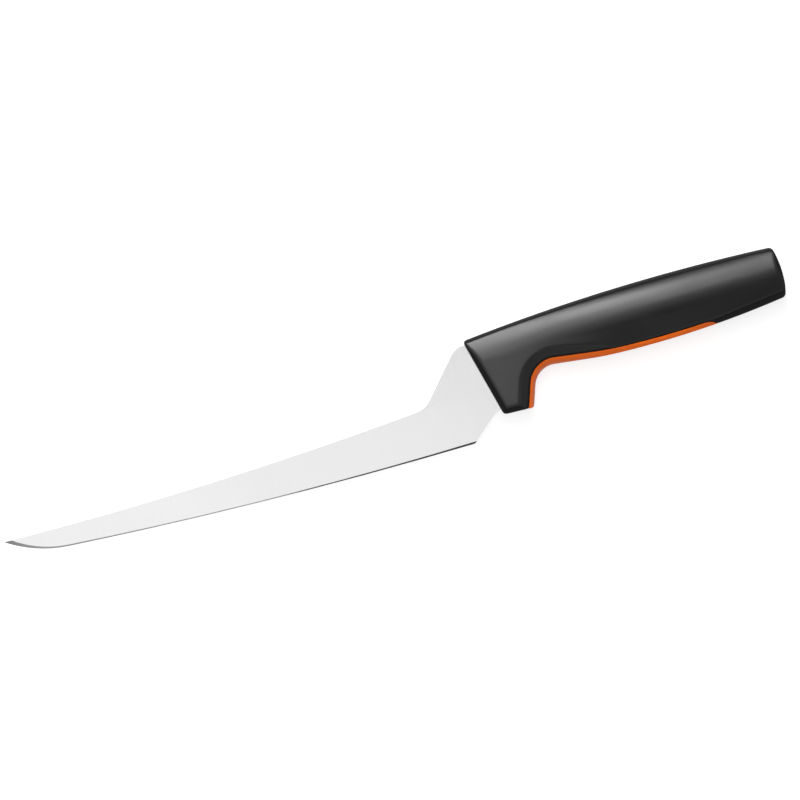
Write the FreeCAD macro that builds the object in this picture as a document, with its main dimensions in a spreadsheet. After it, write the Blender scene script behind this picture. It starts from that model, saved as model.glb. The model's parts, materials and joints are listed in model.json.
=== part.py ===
import FreeCAD, Part
import math
import os
import Sketcher

# Fillet knife with an offset handle: a ground steel blade with a cranked neck, a hard core moulded round
# its tang, and a soft grip moulded over the core. Places are measured from the heel of the blade. X runs
# along the cutting edge towards the butt of the handle, Y up towards the spine, and Z across the knife,
# with its middle plane at 0.

doc = FreeCAD.newDocument("fillet_knife")

# Driving dimensions, in millimetres and degrees.
dimensions = {
    # Blade: a long shallow edge that sweeps up into the tip, and a slightly hollow spine.
    "blade_length": 210.0,
    "edge_radius": 2265.0,
    "edge_low_point": 109.0,
    "tip_curve_length": 27.0,
    "tip_curve_radius": 54.0,
    "spine_radius": 1838.0,
    "heel_round": 1.5,
    # Neck: the crank from the spine up to the handle, and the notch behind the heel.
    "kink_ahead": 17.7,
    "kink_height": 19.7,
    "kink_round": 10.0,
    "neck_angle": 50.4,
    "neck_top_height": 42.8,
    "neck_top_round": 8.0,
    "heel_angle": 43.0,
    "notch_behind": 11.4,
    "notch_round": 8.0,
    "root_angle": 22.0,
    # Tang: the strip of the same steel that lies in the handle, with holes that lock it in the moulding.
    "tang_reach": 118.0,
    "tang_height": 12.0,
    "tang_root_depth": 7.0,
    "tang_round": 3.0,
    "tang_hole_diameter": 5.5,
    "tang_hole_spacing": 28.0,
    "tang_hole_from_end": 14.0,
    "tang_hole_count": 2,
    # Section of the blade: a flat grind from edge to spine, and a narrow bevel along the edge.
    "stock_thickness": 2.0,
    "edge_thickness": 0.3,
    "grind_height": 22.0,
    "grind_end_gap": 0.5,
    "bevel_angle": 15.0,
    "edge_land": 0.1,
    # Side view of the handle: front face, finger guard, finger recess, belly, butt and back.
    "front_foot": 15.2,
    "front_lean": 16.0,
    "guard_height": 9.3,
    "guard_wall_angle": 17.1,
    "recess_behind": 41.0,
    "recess_height": 15.8,
    "recess_radius": 9.8,
    "belly_angle": 4.9,
    "belly_flat_length": 15.1,
    "belly_front_radius": 166.0,
    "belly_radius": 435.0,
    "handle_reach": 147.6,
    "butt_radius": 44.6,
    "butt_height": 39.1,
    "back_radius": 890.0,
    "back_height": 52.95,
    "back_crest_behind": 126.0,
    # Edges of the handle: its rounded corners, the land between the facets of the belly, the bevels of the
    # front, the foot and the butt, and the wider facets for the fingers, which run out behind the recess.
    "foot_round": 1.6,
    "front_round": 1.2,
    "butt_round": 1.8,
    "belly_land": 8.0,
    "belly_facet_angle": 45.0,
    "front_bevel": 2.0,
    "foot_bevel": 2.0,
    "butt_bevel": 1.8,
    "rim_angle": 45.0,
    "butt_turn": 100.0,
    "facet_angle": 32.0,
    "facet_nose": 6.3,
    "facet_fall": 8.0,
    # Sections of the handle at five stations: full width, width of the core inside it, height and tilt of the
    # side where it springs into the arch, and radius of the arch. The back is flat between two bevels.
    "front_width": 14.4,
    "front_core_width": 5.6,
    "front_spring_height": 33.5,
    "front_side_tilt": 1.0,
    "front_arch_radius": 24.0,
    "guard_width": 16.4,
    "guard_core_width": 6.0,
    "guard_spring_height": 35.0,
    "guard_side_tilt": 2.0,
    "guard_arch_radius": 24.0,
    "palm_width": 20.2,
    "palm_core_width": 15.4,
    "palm_spring_height": 35.0,
    "palm_side_tilt": 20.0,
    "palm_arch_radius": 16.0,
    "heel_width": 20.6,
    "heel_core_width": 14.8,
    "heel_spring_height": 36.3,
    "heel_side_tilt": 20.0,
    "heel_arch_radius": 16.0,
    "butt_width": 19.4,
    "butt_core_width": 13.6,
    "butt_spring_height": 37.6,
    "butt_side_tilt": 24.0,
    "butt_arch_radius": 15.0,
    "palm_place_share": 0.4,
    "heel_place_share": 0.72,
    "back_bevel_depth": 1.2,
    "back_bevel_width": 2.4,
    # Core: the hard inner body, and the strip of it that shows along the recess and the belly.
    "grip_wall": 2.2,
    "strip_depth": 2.0,
    "strip_lift": 0.9,
    "strip_lap": 0.5,
    "strip_angle": 6.0,
    "strip_reach": 117.4,
    "strip_end_round": 7.0,
    # Room by which cutting shapes run past what they cut.
    "cut_overrun": 3.0,
}

sheet = doc.addObject("Spreadsheet::Sheet", "Dimensions")
for row, (alias, value) in enumerate(dimensions.items(), start=1):
    sheet.set(f"A{row}", alias)
    sheet.set(f"B{row}", str(value))
    sheet.setAlias(f"B{row}", alias)
doc.recompute()


class Size:
    """A number with the formula that gives it from the sheet, to which a constraint can be bound."""

    def __init__(self, value, formula):
        self.value = value
        self.formula = formula

    def joined(self, sign, other, value):
        formula = other.formula if isinstance(other, Size) else repr(other)
        return Size(value, f"({self.formula} {sign} {formula})")

    def __add__(self, other):
        return self.joined("+", other, self.value + plain(other))

    def __sub__(self, other):
        return self.joined("-", other, self.value - plain(other))

    def __mul__(self, other):
        return self.joined("*", other, self.value * plain(other))

    def __truediv__(self, other):
        return self.joined("/", other, self.value / plain(other))

    def __neg__(self):
        return Size(-self.value, f"(-{self.formula})")


def plain(number):
    return number.value if isinstance(number, Size) else number


def size(alias):
    return Size(float(sheet.get(alias)), f"Dimensions.{alias}")


def root(area):
    return Size(math.sqrt(area.value), f"sqrt({area.formula})")


def leg(hypotenuse, other_leg):
    """The second short side of a right-angled triangle."""
    return root(hypotenuse * hypotenuse - other_leg * other_leg)


def sine(angle):
    return Size(math.sin(math.radians(angle.value)), f"sin({angle.formula})")


def cosine(angle):
    return Size(math.cos(math.radians(angle.value)), f"cos({angle.formula})")


def tangent(angle):
    return Size(math.tan(math.radians(angle.value)), f"tan({angle.formula})")


zero = Size(0.0, "0")
one = Size(1.0, "1")
overrun = size("cut_overrun")
LEFT, RIGHT = 1, -1


def new_body(name):
    return doc.addObject("PartDesign::Body", name)


def new_sketch(body, name, plane_role, out_of_plane=None):
    """A sketch on an origin plane of the body, or parallel to that plane at a given distance."""
    sketch = body.newObject("Sketcher::SketchObject", name)
    plane = next(item for item in body.Origin.OriginFeatures if item.Role == plane_role)
    sketch.AttachmentSupport = [(plane, "")]
    sketch.MapMode = "FlatFace"
    if out_of_plane is not None:
        sketch.setExpression("AttachmentOffset.Base.z", out_of_plane.formula)
    return sketch


def bind(sketch, constraint, number):
    sketch.setExpression(f"Constraints[{sketch.addConstraint(constraint)}]", number.formula)


def place(sketch, index, point, x, y):
    """Hold a point of a sketch where the sheet says."""
    for kind, distance in (("DistanceX", x), ("DistanceY", y)):
        bind(sketch, Sketcher.Constraint(kind, -1, 1, index, point, distance.value), distance)


def segment(start, end):
    """The line from a corner to the next, or the arc if the corner gives a radius and its centre's side."""
    first = FreeCAD.Vector(start[0].value, start[1].value, 0)
    last = FreeCAD.Vector(end[0].value, end[1].value, 0)
    if len(start) == 2:
        return Part.LineSegment(first, last)
    radius, side = start[2].value, start[3]
    half = (last - first) / 2
    inward = FreeCAD.Vector(-half.y, half.x, 0).normalize() * side
    centre = first + half + inward * math.sqrt(radius ** 2 - half.Length ** 2)
    angles = [math.atan2(point.y - centre.y, point.x - centre.x) for point in (first, last)][::side]
    return Part.ArcOfCircle(Part.Circle(centre, FreeCAD.Vector(0, 0, 1), radius), *angles)


def draw(sketch, corners, closed=True):
    """Draw an outline through its corners and bind every corner and radius to the sheet."""
    ends = corners[1:] + corners[:1] if closed else corners[1:]
    pieces = []
    for start, end in zip(corners, ends):
        index = sketch.addGeometry(segment(start, end), False)
        turned = len(start) > 2 and start[3] == RIGHT
        pieces.append((index, 2, 1) if turned else (index, 1, 2))
    for (index, begin, finish), corner in zip(pieces, corners):
        place(sketch, index, begin, *corner[:2])
        if len(corner) > 2:
            bind(sketch, Sketcher.Constraint("Radius", index, corner[2].value), corner[2])
    followers = pieces[1:] + pieces[:1] if closed else pieces[1:]
    for (index, begin, finish), (next_index, next_begin, next_finish) in zip(pieces, followers):
        sketch.addConstraint(Sketcher.Constraint("Coincident", index, finish, next_index, next_begin))
    if not closed:
        index, begin, finish = pieces[-1]
        place(sketch, index, finish, *corners[-1][:2])


def extrude(kind, body, name, sketch, width):
    """A Pad or a Pocket of a sketch, equally far to both sides of the middle plane."""
    feature = body.newObject(f"PartDesign::{kind}", name)
    feature.Profile = sketch
    feature.SideType = "Symmetric"
    feature.setExpression("Length", width.formula)
    doc.recompute()


def notch_along(body, name, line, nose, slope, depth):
    """Cut away both sides of a body along a line. What stays is a nose, whose corners are given from the
    line, and grows wider behind it by the slope."""
    path = new_sketch(body, f"{name}Path", "XY_Plane")
    draw(path, line, closed=False)
    start_behind, start_height = line[0][:2]
    nose_corners = [(start_height + corner[0], *corner[1:]) for corner in nose]
    nose_height, nose_half = nose_corners[-1][:2]
    inside = nose_height + depth
    outside = start_height - overrun
    inner_half = nose_half + depth * slope
    outer_half = inner_half + overrun
    section = new_sketch(body, f"{name}Section", "YZ_Plane", start_behind)
    draw(section, [
        (inside, outer_half),
        (outside, outer_half),
        (outside, -outer_half),
        (inside, -outer_half),
        (inside, -inner_half),
        *nose_corners,
        (inside, inner_half),
    ])
    doc.recompute()
    notch = body.newObject("PartDesign::SubtractivePipe", name)
    notch.Profile = section
    notch.Spine = (path, [f"Edge{number}" for number in range(1, len(line))])
    doc.recompute()


# How near to each other, seen from the side, the ends of an edge that stands upright have to be.
near = 0.01


def round_corners(body, name, corners, radius):
    """Round the upright edges of a body that stand nearest to the given corners."""
    base = body.Tip
    upright = {}
    for number, edge in enumerate(base.Shape.Edges, start=1):
        ends = [FreeCAD.Vector(vertex.X, vertex.Y, 0) for vertex in edge.Vertexes]
        if len(ends) == 2 and ends[0].distanceToPoint(ends[1]) < near:
            upright[f"Edge{number}"] = ends[0]
    nearest = []
    for x, y in corners:
        corner = FreeCAD.Vector(x.value, y.value, 0)
        nearest.append(min(upright, key=lambda edge: upright[edge].distanceToPoint(corner)))
    rounding = body.newObject("PartDesign::Fillet", name)
    rounding.Base = (base, nearest)
    rounding.setExpression("Radius", radius.formula)
    doc.recompute()


# Blade. The outline starts at the heel and runs along the edge to the tip, back along the spine, up the
# neck, round the tang and back under the neck to the heel.
blade_length = size("blade_length")
edge_radius = size("edge_radius")
edge_low_point = size("edge_low_point")
tip_curve_radius = size("tip_curve_radius")
edge_centre_height = leg(edge_radius, edge_low_point)
edge_sag = edge_radius - edge_centre_height
tip_start_past_low = blade_length - size("tip_curve_length") - edge_low_point
tip_start_depth = leg(edge_radius, tip_start_past_low)
curve_ratio = one - tip_curve_radius / edge_radius
tip_centre_ahead = edge_low_point + tip_start_past_low * curve_ratio
tip_centre_height = edge_centre_height - tip_start_depth * curve_ratio


def edge_point(ahead):
    """A point of the long edge arc at a distance ahead of the heel."""
    return -ahead, edge_centre_height - leg(edge_radius, ahead - edge_low_point)


def tip_point(ahead):
    """A point of the curve that sweeps the edge up into the tip."""
    return -ahead, tip_centre_height - leg(tip_curve_radius, ahead - tip_centre_ahead)


neck_top = size("neck_top_height")
tang_reach = size("tang_reach")
tang_low = neck_top - size("tang_height")
notch = (size("notch_behind"), size("notch_behind") * tangent(size("heel_angle")))
shoulder_behind = size("front_foot") + size("tang_root_depth")
heel = (zero, zero)
tip_start = edge_point(edge_low_point + tip_start_past_low)
tip = tip_point(blade_length)
kink = (-size("kink_ahead"), size("kink_height"))
neck_corner = (kink[0] + (neck_top - kink[1]) / tangent(size("neck_angle")), neck_top)
tang_end = [(tang_reach, neck_top), (tang_reach, tang_low)]
shoulder = (shoulder_behind, tang_low)
root_corner = (shoulder_behind, notch[1] + (shoulder_behind - notch[0]) * tangent(size("root_angle")))

blade = new_body("Blade")
blade_outline = new_sketch(blade, "BladeOutline", "XY_Plane")
draw(blade_outline, [
    (*heel, edge_radius, RIGHT),
    (*tip_start, tip_curve_radius, RIGHT),
    (*tip, size("spine_radius"), LEFT),
    kink,
    neck_corner,
    *tang_end,
    shoulder,
    root_corner,
    notch,
])
stock = size("stock_thickness")
extrude("Pad", blade, "BladeStrip", blade_outline, stock)
round_corners(blade, "HeelRounding", [heel], size("heel_round"))
round_corners(blade, "KinkRounding", [kink], size("kink_round"))
round_corners(blade, "NeckRounding", [neck_corner], size("neck_top_round"))
round_corners(blade, "NotchRounding", [notch], size("notch_round"))
round_corners(blade, "TangRounding", [*tang_end, shoulder, root_corner], size("tang_round"))

# Holes in a row along the tang, counted back from its end.
tang_holes = new_sketch(blade, "TangHoles", "XY_Plane")
hole_height = neck_top - size("tang_height") / 2
hole_diameter = size("tang_hole_diameter")
for number in range(int(size("tang_hole_count").value)):
    hole_behind = tang_reach - size("tang_hole_from_end") - size("tang_hole_spacing") * number
    centre = FreeCAD.Vector(hole_behind.value, hole_height.value, 0)
    circle = Part.Circle(centre, FreeCAD.Vector(0, 0, 1), hole_diameter.value / 2)
    index = tang_holes.addGeometry(circle, False)
    place(tang_holes, index, 3, hole_behind, hole_height)
    bind(tang_holes, Sketcher.Constraint("Diameter", index, hole_diameter.value), hole_diameter)
extrude("Pocket", blade, "TangHolesCut", tang_holes, stock * 2)

# Flat grind. Both sides fall in a plane from the full stock down to the edge. The cut is drawn on a plane
# parallel to the front face of the handle and runs from there along the blade, so it stops just ahead of
# the handle.
front_lean = size("front_lean")
front_foot = size("front_foot")
guard_height = size("guard_height")
half_stock = stock / 2
half_edge = size("edge_thickness") / 2
grind_rise = (half_stock - half_edge) / size("grind_height")


def along_front(height):
    """Distance along the leaning front face at a height above the heel."""
    return (height - guard_height) / cosine(front_lean)


grind_end = front_foot - size("grind_end_gap") / cosine(front_lean)
grind = new_sketch(blade, "GrindSection", "YZ_Plane", grind_end)
grind.setExpression("AttachmentOffset.Base.x", guard_height.formula)
grind.AttachmentOffset.Rotation.Axis = FreeCAD.Vector(0, 1, 0)
grind.setExpression("AttachmentOffset.Rotation.Angle", front_lean.formula)
grind_foot = -edge_sag - overrun
grind_crest = (stock - half_edge) / grind_rise - edge_sag
for side in (1, -1):
    draw(grind, [
        (along_front(grind_foot), (half_edge - grind_rise * overrun) * side),
        (along_front(grind_foot), stock * side),
        (along_front(grind_crest), stock * side),
    ])
doc.recompute()
grind_cut = blade.newObject("PartDesign::Pocket", "FlatGrind")
grind_cut.Profile = grind
grind_cut.UseCustomVector = True
grind_cut.Direction = FreeCAD.Vector(-1, 0, 0)
grind_cut.Type = "Length"
grind_cut.setExpression("Length", (blade_length + front_foot + overrun).formula)
doc.recompute()

# Cutting bevel: it follows the edge from behind the heel to past the tip.
bevel_line = [
    (*edge_point(-overrun), edge_radius, RIGHT),
    (*tip_start, tip_curve_radius, RIGHT),
    tip_point(blade_length + overrun),
]
bevel_slope = tangent(size("bevel_angle"))
bevel_apex = [(-size("edge_land") / bevel_slope / 2, zero)]
notch_along(blade, "CuttingBevel", bevel_line, bevel_apex, bevel_slope, stock * 2)

# Side view of the handle. The underside runs from the butt along the belly, round the finger recess and
# down the guard wall. Every part of it is tangent to the next, so it can be set in by a distance without
# changing its centres.
handle_reach = size("handle_reach")
recess_behind = size("recess_behind")
wall_angle = size("guard_wall_angle")
belly_angle = size("belly_angle")
flat_length = size("belly_flat_length")
back_height = size("back_height")
above_back = back_height + overrun * 2


def underside(inset, start_behind, lift=zero, flat_angle=belly_angle):
    """Corners of the belly, the recess and the guard wall, from a distance behind the heel to the top of
    the wall. The line can be set in, lifted, or turned along the flat part of the belly."""
    recess_height = size("recess_height") + lift
    recess_radius = size("recess_radius") + inset
    front_radius = size("belly_front_radius") - inset
    belly_radius = size("belly_radius") - inset
    across, along = sine(flat_angle), cosine(flat_angle)
    wall_top = (recess_behind - recess_radius * cosine(wall_angle),
                recess_height + recess_radius * sine(wall_angle))
    recess_end = (recess_behind + recess_radius * across, recess_height + recess_radius * along)
    flat_end = (recess_end[0] + flat_length * along, recess_end[1] - flat_length * across)
    lowest = (flat_end[0] + front_radius * across, flat_end[1] - front_radius * (one - along))
    start_height = lowest[1] + belly_radius - leg(belly_radius, start_behind - lowest[0])
    return [
        (start_behind, start_height, belly_radius, RIGHT),
        (*lowest, front_radius, RIGHT),
        flat_end,
        (*recess_end, recess_radius, LEFT),
        wall_top,
    ]


def wall_at(wall_top, height):
    """The point of the guard wall, or of its line, at a height above the heel."""
    return wall_top[0] - (wall_top[1] - height) * tangent(wall_angle), height


def front_at(height, inset):
    """The point of the leaning front face at a height above the heel."""
    return front_foot - (height - guard_height) * tangent(front_lean) + inset / cosine(front_lean), height


def front_line(wall_top, inset):
    """Corners of the foot of the guard and of the front face, from the guard wall to above the back."""
    foot = guard_height + inset
    return [wall_at(wall_top, foot), front_at(foot, inset), front_at(above_back, inset)]


def butt_line(inset):
    """Corners of the bulged butt, from below the belly to above the back."""
    radius = size("butt_radius") - inset
    centre_behind = handle_reach - size("butt_radius")
    below = belly_low - overrun
    return [
        (centre_behind + leg(radius, size("butt_height") - below), below, radius, LEFT),
        (centre_behind + leg(radius, above_back - size("butt_height")), above_back),
    ]


def back_at(behind):
    """Height of the back of the handle at a distance behind the heel."""
    return back_height - size("back_radius") + leg(size("back_radius"), behind - size("back_crest_behind"))


# Sections across the handle. The sides lean in towards the belly and spring into an arch, and the back is
# flat between two bevels.
belly_low = underside(zero, handle_reach)[1][1]
guard_behind = recess_behind - size("recess_radius")
stations = {
    "front": (front_at(back_height, zero)[0] - overrun, guard_height),
    "guard": (guard_behind, guard_height),
    "palm": (guard_behind + (handle_reach - guard_behind) * size("palm_place_share"), belly_low),
    "heel": (guard_behind + (handle_reach - guard_behind) * size("heel_place_share"), belly_low),
    "butt": (handle_reach + overrun, belly_low),
}


def cross_section(station, wall, cored):
    """Corners of the section at a station. That of the core is narrower, with straight sides."""
    behind, lowest = stations[station]
    foot = lowest - overrun
    back = back_at(behind) - wall
    tilt = size(f"{station}_side_tilt")
    half_width = size(f"{station}_core_width" if cored else f"{station}_width") / 2
    arch_radius = size(f"{station}_arch_radius") - size(f"{station}_width") / 2 + half_width
    widest = size(f"{station}_spring_height") + size(f"{station}_arch_radius") * sine(tilt)
    spring = (widest - arch_radius * sine(tilt), half_width - arch_radius * (one - cosine(tilt)))
    foot_half = spring[1] - (spring[0] - foot) * tangent(tilt)
    shoulder_height = back - size("back_bevel_depth")
    shoulder_half = half_width - arch_radius + leg(arch_radius, shoulder_height - widest)
    if cored:
        right = [(foot, foot_half), spring, (widest, half_width), (shoulder_height, shoulder_half)]
        return [*right, *[(height, -half) for height, half in reversed(right)]]
    back_half = shoulder_half - size("back_bevel_width")
    return [
        (foot, foot_half),
        (*spring, arch_radius, RIGHT),
        (shoulder_height, shoulder_half),
        (back, back_half),
        (back, -back_half),
        (shoulder_height, -shoulder_half, arch_radius, RIGHT),
        (spring[0], -spring[1]),
        (foot, -foot_half),
    ]


def handle_form(name, wall, belly_wall, cored):
    """The handle as a solid, or its core, set in by a wall, and by another from the underside."""
    body = new_body(name)
    sections = []
    for station, (behind, lowest) in stations.items():
        section = new_sketch(body, f"{name}{station.title()}Section", "YZ_Plane", behind)
        draw(section, cross_section(station, wall, cored))
        sections.append(section)
    doc.recompute()
    loft = body.newObject("PartDesign::AdditiveLoft", f"{name}Loft")
    loft.Profile = sections[0]
    loft.Sections = sections[1:]
    loft.Ruled = cored
    doc.recompute()

    ahead = stations["front"][0] - overrun
    below = guard_height - back_height
    behind = handle_reach + overrun * 2
    full_width = size("palm_width") * 2
    belly = underside(belly_wall, behind)
    side_trim = new_sketch(body, f"{name}SideTrim", "XY_Plane")
    draw(side_trim, [
        *belly,
        *front_line(belly[-1], wall),
        (ahead, above_back),
        (ahead, below),
        (behind, below),
    ])
    extrude("Pocket", body, f"{name}SideCut", side_trim, full_width)
    butt_trim = new_sketch(body, f"{name}ButtTrim", "XY_Plane")
    draw(butt_trim, [*butt_line(wall), (behind, above_back), (behind, belly_low - overrun)])
    extrude("Pocket", body, f"{name}ButtCut", butt_trim, full_width)
    return body


# Grip form: the outside of the handle. Narrow facets run along the whole underside. Wider ones, for the
# fingers, follow the guard wall and the recess, and their line falls away from the belly behind it. A round
# nose between the wider facets is tangent to both.
grip_form = handle_form("GripForm", zero, zero, False)
belly_line = underside(zero, handle_reach + overrun)
wall_foot = wall_at(belly_line[-1], guard_height)
round_corners(grip_form, "FootRounding", [(front_foot, guard_height), wall_foot], size("foot_round"))
round_corners(grip_form, "FrontRounding", [front_at(back_height, zero)], size("front_round"))
butt_ends = [(handle_reach, back_height), (handle_reach, belly_low)]
round_corners(grip_form, "ButtRounding", butt_ends, size("butt_round"))
belly_line.append(wall_at(belly_line[-1], guard_height - overrun))
belly_slope = tangent(size("belly_facet_angle"))
belly_apex = [(-size("belly_land") / belly_slope / 2, zero)]
notch_along(grip_form, "BellyFacets", belly_line, belly_apex, belly_slope, size("palm_width"))
facet_nose = size("facet_nose")
facet_fall = size("facet_fall")
recess_end, wall_top = underside(zero, handle_reach, flat_angle=facet_fall)[-2:]
facet_start = recess_end[1] - (handle_reach - recess_end[0]) * tangent(facet_fall)
facet_line = [(handle_reach, facet_start), recess_end, wall_top, wall_at(wall_top, guard_height - overrun)]
facet_angle = size("facet_angle")
nose_depth = facet_nose * (one - sine(facet_angle))
nose_half = facet_nose * cosine(facet_angle)
facet_section = [(nose_depth, -nose_half, facet_nose, RIGHT), (nose_depth, nose_half)]
notch_along(grip_form, "GripFacets", facet_line, facet_section, tangent(facet_angle), size("palm_width"))

# Bevels of the front face, of the foot of the guard and of the butt. Each leaves a land between its sides.
bevel_rise = tangent(size("rim_angle"))
bevel_reach = size("palm_width")
front_half = size("front_width") / 2


def bevel_section(name, plane_role, land_at, inward, land_half):
    """A sketch of the two triangles that a bevel takes away beside its land."""
    sketch = new_sketch(grip_form, name, plane_role)
    outside = land_at - overrun * inward
    inside = land_at + bevel_reach * inward
    near_half = land_half - overrun * bevel_rise
    far_half = land_half + bevel_reach * bevel_rise
    for side in (1, -1):
        corners = [(outside, near_half), (outside, far_half), (inside, far_half)]
        draw(sketch, [(along, half * side) for along, half in corners])
    return sketch


front_section = bevel_section("FrontBevelSection", "XZ_Plane", zero, 1, front_half - size("front_bevel"))
front_section.setExpression("AttachmentOffset.Base.x", front_foot.formula)
front_section.setExpression("AttachmentOffset.Base.z", (-guard_height).formula)
front_section.AttachmentOffset.Rotation.Axis = FreeCAD.Vector(0, 1, 0)
front_section.setExpression("AttachmentOffset.Rotation.Angle", front_lean.formula)
extrude("Pocket", grip_form, "FrontBevel", front_section, above_back * 2)
foot_section = bevel_section("FootBevelSection", "YZ_Plane", guard_height, 1, front_half - size("foot_bevel"))
extrude("Pocket", grip_form, "FootBevel", foot_section, handle_reach * 2)
butt_land = size("butt_width") / 2 - size("butt_bevel")
butt_section = bevel_section("ButtBevelSection", "XZ_Plane", size("butt_radius"), -1, butt_land)
butt_section.setExpression("AttachmentOffset.Base.x", (handle_reach - size("butt_radius")).formula)
butt_section.setExpression("AttachmentOffset.Base.z", (-size("butt_height")).formula)
doc.recompute()
butt_bevel = grip_form.newObject("PartDesign::Groove", "ButtBevel")
butt_bevel.Profile = butt_section
butt_bevel.ReferenceAxis = (butt_section, ["V_Axis"])
butt_bevel.Midplane = True
butt_bevel.setExpression("Angle", size("butt_turn").formula)
doc.recompute()

# Core. The inner body fills the handle but for the wall of the grip. The strip lies along the recess and
# the belly, across the full width of the handle, and the inner body narrows between the facets down to it.
strip_depth = size("strip_depth")
strip_reach = size("strip_reach")
grip_wall = size("grip_wall")
core_form = handle_form("CoreForm", grip_wall, strip_depth - size("strip_lap"), True)

strip_form = new_body("StripForm")
strip_outline = new_sketch(strip_form, "StripOutline", "XY_Plane")
strip_line = underside(strip_depth, strip_reach, size("strip_lift"), size("strip_angle"))
strip_below = guard_height - overrun
draw(strip_outline, [*strip_line, wall_at(strip_line[-1], strip_below), (strip_reach, strip_below)])
extrude("Pad", strip_form, "StripPad", strip_outline, size("palm_width") * 2)
round_corners(strip_form, "StripRounding", [strip_line[0][:2]], size("strip_end_round"))


def combine(kind, name, label, base, tool):
    """A boolean of two shapes."""
    result = doc.addObject(f"Part::{kind}", name)
    result.Label = label
    result.Base = base
    result.Tool = tool
    result.Refine = True
    doc.recompute()
    return result


strip = combine("Common", "Strip", "strip", strip_form, grip_form)
core_solid = combine("Fuse", "CoreSolid", "core_solid", core_form, strip)
handle_core = combine("Cut", "HandleCore", "handle_core", core_solid, blade)

# Grip: the skin of the handle that the core and the blade leave free.
grip_skin = combine("Cut", "GripSkin", "grip_skin", grip_form, core_solid)
soft_grip = combine("Cut", "SoftGrip", "soft_grip", grip_skin, blade)
blade.Label = "blade"

# The knife lies on its side. Its origin is under the middle of its box, so every body moves there together.
knife_box = Part.makeCompound([blade.Shape, grip_form.Shape]).optimalBoundingBox()
middle = knife_box.Center
lying = FreeCAD.Placement(FreeCAD.Vector(-middle.x, -middle.y, -knife_box.ZMin), FreeCAD.Rotation())
for body in (blade, grip_form, core_form, strip_form):
    body.Placement = lying
doc.recompute()

failed = [item.Name for item in doc.Objects if "Invalid" in item.State or "Error" in item.State]
if failed:
    raise RuntimeError(f"these did not build: {failed}")
sub_parts = (blade, handle_core, soft_grip)
for piece in sub_parts:
    if piece.Shape.isNull() or not piece.Shape.isValid():
        raise RuntimeError(f"{piece.Label} has no valid shape")

os.makedirs("parts", exist_ok=True)
for piece in sub_parts:
    piece.Shape.exportStep(f"parts/{piece.Label}.step")
    box = piece.Shape.optimalBoundingBox()
    print(piece.Label, len(piece.Shape.Solids), round(piece.Shape.Volume, 1), box)
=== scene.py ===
import json
import math
import bpy
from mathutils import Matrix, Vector

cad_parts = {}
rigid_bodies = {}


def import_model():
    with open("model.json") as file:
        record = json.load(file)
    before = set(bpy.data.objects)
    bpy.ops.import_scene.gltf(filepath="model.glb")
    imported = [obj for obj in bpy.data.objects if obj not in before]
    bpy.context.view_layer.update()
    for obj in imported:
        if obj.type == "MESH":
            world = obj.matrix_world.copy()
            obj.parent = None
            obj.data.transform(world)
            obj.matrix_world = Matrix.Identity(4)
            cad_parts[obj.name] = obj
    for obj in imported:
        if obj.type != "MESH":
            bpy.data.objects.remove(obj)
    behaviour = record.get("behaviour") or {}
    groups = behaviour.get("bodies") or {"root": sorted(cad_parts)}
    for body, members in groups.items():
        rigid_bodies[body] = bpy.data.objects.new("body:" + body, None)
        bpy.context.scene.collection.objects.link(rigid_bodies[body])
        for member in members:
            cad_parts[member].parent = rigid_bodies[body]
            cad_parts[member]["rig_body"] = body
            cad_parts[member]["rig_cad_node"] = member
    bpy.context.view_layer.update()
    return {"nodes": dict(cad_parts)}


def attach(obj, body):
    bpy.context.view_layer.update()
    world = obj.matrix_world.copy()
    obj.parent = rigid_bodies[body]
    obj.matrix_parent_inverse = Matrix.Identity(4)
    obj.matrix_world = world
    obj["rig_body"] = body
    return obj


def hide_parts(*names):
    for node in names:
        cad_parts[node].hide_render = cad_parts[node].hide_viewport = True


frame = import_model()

scene = bpy.context.scene
scene.view_settings.view_transform = "Standard"


# Blade: one strip of stainless steel, stamped to its outline, ground flat from the spine to the edge with
# a belt that leaves fine lines across the blade, and honed to a narrow bevel. Its tang is moulded into the
# handle.
def merged_copy(node, name, smooth_degrees):
    """A copy of a solid with its triangles joined, smooth but for the edges sharper than an angle."""
    joining_distance = 2e-6
    bpy.ops.object.select_all(action="DESELECT")
    original = frame["nodes"][node]
    original.select_set(True)
    bpy.context.view_layer.objects.active = original
    bpy.ops.object.duplicate()
    piece = bpy.context.view_layer.objects.active
    piece.name = piece.data.name = name
    bpy.ops.object.parent_clear(type="CLEAR_KEEP_TRANSFORM")
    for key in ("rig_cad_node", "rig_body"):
        if key in piece:
            del piece[key]
    bpy.ops.object.mode_set(mode="EDIT")
    bpy.ops.mesh.select_all(action="SELECT")
    bpy.ops.mesh.customdata_custom_splitnormals_clear()
    bpy.ops.mesh.remove_doubles(threshold=joining_distance)
    bpy.ops.object.mode_set(mode="OBJECT")
    bpy.ops.object.shade_smooth_by_angle(angle=math.radians(smooth_degrees))
    piece.data.materials.clear()
    return piece


def set_inputs(tree, node, values):
    """Join each named input of a node to a socket, or give it a value."""
    for key, value in values.items():
        if isinstance(value, bpy.types.NodeSocket):
            tree.links.new(value, node.inputs[key])
        else:
            node.inputs[key].default_value = value


def node_adder(tree):
    """A maker of nodes in a node tree, which sets their values and joins their inputs."""
    def add(kind, values=None, **settings):
        node = tree.nodes.new(kind)
        for key, value in settings.items():
            setattr(node, key, value)
        set_inputs(tree, node, values or {})
        return node
    return add


def node_material(name):
    """A new material with its node tree, its Principled shader and a maker of nodes for it."""
    material = bpy.data.materials.new(name)
    material.use_nodes = True
    tree = material.node_tree
    return material, tree, tree.nodes["Principled BSDF"], node_adder(tree)


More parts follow.
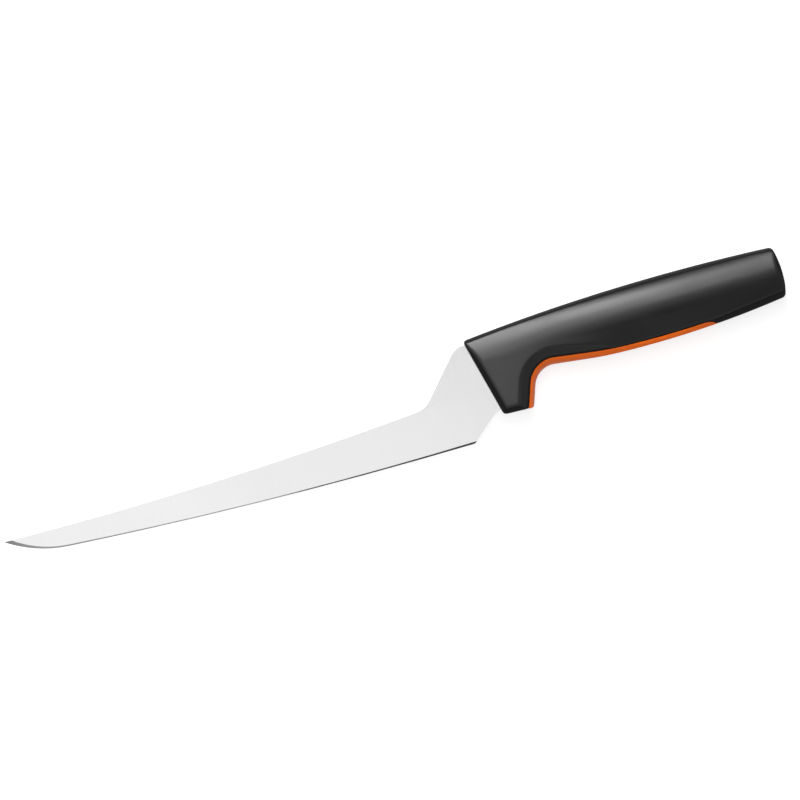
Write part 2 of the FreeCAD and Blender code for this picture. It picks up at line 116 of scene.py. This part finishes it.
def noise(add, place, scale, detail):
    """Noise at a place, about 0 to 1."""
    return add("ShaderNodeTexNoise", {"Vector": place, "Scale": scale, "Detail": detail}).outputs["Fac"]


def streaks(add, place, stretch, detail):
    """Noise drawn out into lines by a different scale along each axis."""
    drawn_out = add("ShaderNodeMapping", {"Vector": place, "Scale": stretch})
    return noise(add, drawn_out.outputs["Vector"], 1.0, detail)


def ramp(add, value, span, levels):
    """A value taken from one range to another."""
    ends = {"From Min": span[0], "From Max": span[1], "To Min": levels[0], "To Max": levels[1]}
    return add("ShaderNodeMapRange", {"Value": value, **ends}).outputs["Result"]


def maths(add, operation, *inputs):
    """The result of a sum, a product or the like."""
    return add("ShaderNodeMath", dict(enumerate(inputs)), operation=operation).outputs["Value"]


blade = merged_copy("blade", "blade_strip", smooth_degrees=4)

steel_colour = (0.80, 0.80, 0.80, 1.0)
steel_tones = (0.95, 1.03)
steel_roughness = (0.2, 0.25)
fine_lines = (5200, 60, 60)
belt_marks = (1300, 30, 30)
steel, tree, shader, add = node_material("ground_steel")
place = add("ShaderNodeTexCoord").outputs["Object"]
lines = streaks(add, place, fine_lines, 3.0)
tone = ramp(add, noise(add, place, 22.0, 2.0), (0.0, 1.0), steel_tones)
tint = add("ShaderNodeMix", {"Factor": 1.0, "A": steel_colour, "B": tone}, data_type="RGBA",
           blend_type="MULTIPLY")
relief = add("ShaderNodeBump", {"Height": streaks(add, place, belt_marks, 1.0), "Strength": 0.05,
                                "Distance": 0.00002})
set_inputs(tree, shader, {"Base Color": tint.outputs["Result"],
                          "Roughness": ramp(add, lines, (0.0, 1.0), steel_roughness),
                          "Normal": relief.outputs["Normal"], "Metallic": 1.0})
blade.data.materials.append(steel)

# The bevel is honed to a mirror but for a duller stretch round the middle of the edge.
bevel_colour = (0.66, 0.66, 0.67, 1.0)
dull_middle = -0.115
dull_reach = (0.04, 0.07)
bevel_roughness = (0.78, 0.12)
stroke_depth = 0.06
honing_strokes = (60, 9000, 9000)
honed, tree, shader, add = node_material("honed_steel")
place = add("ShaderNodeTexCoord").outputs["Object"]
strokes = streaks(add, place, honing_strokes, 2.0)
along = add("ShaderNodeSeparateXYZ", {"Vector": place}).outputs["X"]
from_middle = maths(add, "ABSOLUTE", maths(add, "ADD", along, -dull_middle))
fineness = ramp(add, from_middle, dull_reach, bevel_roughness)
set_inputs(tree, shader, {"Roughness": maths(add, "MULTIPLY_ADD", strokes, stroke_depth, fineness),
                          "Base Color": bevel_colour, "Metallic": 1.0})
blade.data.materials.append(honed)
ground_upright, honed_upright = 0.99, 0.9
for face in blade.data.polygons:
    if honed_upright < abs(face.normal.z) < ground_upright:
        face.material_index = 1
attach(blade, "root")
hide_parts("blade")


# Handle core: hard orange plastic, moulded round the tang in the first shot, so that it grips the steel and
# its holes. It shows as a strip along the finger recess and the belly.
def moulded_finish(name, tints, roughness, grain_scale, grain_strength, drift_scale, drift_detail):
    """A moulded material: two close tints and levels of gloss that drift, and a fine grain."""
    material, tree, shader, add = node_material(name)
    place = add("ShaderNodeTexCoord").outputs["Object"]
    grain = noise(add, place, grain_scale, 2.0)
    drift = noise(add, place, drift_scale, drift_detail)
    tint = add("ShaderNodeMix", {"Factor": drift, "A": tints[0], "B": tints[1]}, data_type="RGBA")
    relief = add("ShaderNodeBump", {"Height": grain, "Strength": grain_strength, "Distance": 0.00003})
    set_inputs(tree, shader, {"Base Color": tint.outputs["Result"],
                              "Roughness": ramp(add, drift, (0.3, 0.7), roughness),
                              "Normal": relief.outputs["Normal"]})
    return material, tree, shader, add


core = merged_copy("handle_core", "core_moulding", smooth_degrees=30)
orange, tree, shader, add = moulded_finish(
    "orange_plastic", tints=((0.93, 0.145, 0.004, 1.0), (1.0, 0.165, 0.006, 1.0)), roughness=(0.38, 0.48),
    grain_scale=1600.0, grain_strength=0.15, drift_scale=60.0, drift_detail=2.0)
set_inputs(tree, shader, {"Specular IOR Level": 0.25})
core.data.materials.append(orange)
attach(core, "root")
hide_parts("handle_core")


# Soft grip: black elastomer moulded over the core and round the neck of the blade in the second shot, to
# which it bonds. Its edges are eased and its skin has the fine matt texture of the mould.
def mould_edges(piece, grain_size, passes):
    """Close a piece's skin with even small faces and ease its edges, as a mould does."""
    skin = piece.modifiers.new("skin", "REMESH")
    skin.mode = "VOXEL"
    skin.voxel_size = grain_size
    easing = piece.modifiers.new("easing", "SMOOTH")
    easing.factor = 0.5
    easing.iterations = passes
    bpy.ops.object.select_all(action="DESELECT")
    bpy.context.view_layer.objects.active = piece
    piece.select_set(True)
    for modifier in ("skin", "easing"):
        bpy.ops.object.modifier_apply(modifier=modifier)
    bpy.ops.object.shade_smooth()


grip = merged_copy("soft_grip", "grip_moulding", smooth_degrees=30)
mould_edges(grip, grain_size=0.0005, passes=12)
rubber, tree, shader, add = moulded_finish(
    "soft_black_grip", tints=((0.0085, 0.0085, 0.0088, 1.0), (0.011, 0.011, 0.0113, 1.0)),
    roughness=(0.33, 0.38), grain_scale=2600.0, grain_strength=0.2, drift_scale=45.0, drift_detail=3.0)
# Faces that turn away from the eye shine less, as the texture shades itself there.
turned_away = (0.08, 0.22)
shine = (0.5, 0.06)
glance = add("ShaderNodeLayerWeight", {"Blend": 0.5}).outputs["Facing"]
set_inputs(tree, shader, {"Specular IOR Level": ramp(add, glance, turned_away, shine)})
grip.data.materials.append(rubber)
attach(grip, "root")
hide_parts("soft_grip")

# Floor: a plain white table that the knife lies on. What the eye and the steel see of it is filled up to
# white, and less so beside the knife, so that its shadow stays.
floor_size = 12.0
beside_knife, far_from_knife = 0.3, 1.2
mirrored_fill, more_fill_to_camera = 0.62, 0.16
bpy.ops.object.select_all(action="DESELECT")
bpy.ops.mesh.primitive_plane_add(size=floor_size, location=(0, 0, 0))
floor = bpy.context.active_object
floor.name = "floor"
white, tree, shader, add = node_material("white_table")
path = add("ShaderNodeLightPath").outputs
camera_or_glossy = maths(add, "MAXIMUM", path["Is Camera Ray"], path["Is Glossy Ray"])
seen = maths(add, "MAXIMUM", camera_or_glossy, path["Is Transmission Ray"])
place = add("ShaderNodeTexCoord").outputs["Object"]
away = add("ShaderNodeVectorMath", {0: place}, operation="LENGTH").outputs["Value"]
near_fill = maths(add, "MULTIPLY_ADD", path["Is Camera Ray"], more_fill_to_camera, mirrored_fill)
pale = ramp(add, away, (beside_knife, far_from_knife), (near_fill, 1.0))
set_inputs(tree, shader, {"Base Color": (0.5, 0.5, 0.5, 1.0), "Roughness": 0.9, "Specular IOR Level": 0.1,
                          "Emission Strength": maths(add, "MULTIPLY", seen, pale),
                          "Emission Color": (1.0, 1.0, 1.0, 1.0)})
floor.data.materials.append(white)


# Light: a softbox over the blade, a low one before the strip, and two behind the handle that give the black
# grip its highlight. Those two light only the handle and the table, so that the bare steel isn't washed out.
# The room that the steel mirrors has pale walls, a dark ceiling and a dark flag before the handle.
def soft_light(name, place, target, width, depth, watts):
    """A rectangular area lamp that looks at a point."""
    bpy.ops.object.light_add(type="AREA", location=place)
    lamp = bpy.context.active_object
    lamp.name = lamp.data.name = name
    lamp.data.shape = "RECTANGLE"
    lamp.data.size = width
    lamp.data.size_y = depth
    lamp.data.energy = watts
    lamp.rotation_euler = (Vector(target) - Vector(place)).to_track_quat("-Z", "Y").to_euler()
    lamp.visible_camera = False
    return lamp


soft_light("overhead_softbox", place=(-0.27, -0.14, 1.2), target=(-0.27, -0.14, 0.0),
           width=0.9, depth=0.7, watts=2.2)
soft_light("front_softbox", place=(0.1, -0.9, 0.45), target=(0.1, 0.0, 0.0),
           width=1.1, depth=0.42, watts=1.3)
upper = soft_light("upper_softbox", place=(0.15, 0.30, 1.0), target=(0.15, 0.0, 0.0),
                   width=0.24, depth=0.40, watts=2.3)
spine = soft_light("spine_softbox", place=(-0.04, 0.70, 0.72), target=(0.08, 0.02, 0.01),
                   width=0.46, depth=0.62, watts=10.0)
handle_and_table = bpy.data.collections.new("handle_and_table")
for lit in (core, grip, floor):
    handle_and_table.objects.link(lit)
for lamp in (upper, spine):
    lamp.light_linking.receiver_collection = handle_and_table

pale_to_dark = (0.8, 0.06)
towards_flag = (0.0, -0.695, 0.719)
flag_edge = (math.cos(math.radians(40)), math.cos(math.radians(28)))
wall_top = (0.6, 0.8)
room_light, room_to_camera = 0.1, 1.0
room = bpy.data.worlds.new("white_room")
scene.world = room
room.use_nodes = True
tree = room.node_tree
add = node_adder(tree)
place = add("ShaderNodeTexCoord").outputs["Generated"]
near_flag = add("ShaderNodeVectorMath", {0: place, 1: towards_flag}, operation="DOT_PRODUCT").outputs["Value"]
height = add("ShaderNodeSeparateXYZ", {"Vector": place}).outputs["Z"]
mirrored = maths(add, "MINIMUM", ramp(add, near_flag, flag_edge, pale_to_dark),
                 ramp(add, height, wall_top, pale_to_dark))
path = add("ShaderNodeLightPath").outputs
glossy = maths(add, "MAXIMUM", path["Is Glossy Ray"], path["Is Transmission Ray"])
unseen = add("ShaderNodeMix", {"Factor": glossy, "A": room_light, "B": mirrored}).outputs["Result"]
level = add("ShaderNodeMix", {"Factor": path["Is Camera Ray"], "A": unseen, "B": room_to_camera})
set_inputs(tree, tree.nodes["Background"], {"Strength": level.outputs["Result"],
                                            "Color": (0.98, 0.99, 1.0, 1.0)})

# Camera: straight over the flat of the blade, from far away, turned so that the knife rises to the right.
view_centre = (0.0038, 0.0011)
view_width = 0.3492
view_turn = math.radians(13.7)
lens = 250.0
blade_height = 0.0104
camera_data = bpy.data.cameras.new("camera")
camera_data.lens = lens
camera_data.sensor_fit = "HORIZONTAL"
camera = bpy.data.objects.new("camera", camera_data)
scene.collection.objects.link(camera)
camera.location = (*view_centre, view_width * lens / camera_data.sensor_width + blade_height)
camera.rotation_euler = (0.0, 0.0, -view_turn)
scene.camera = camera
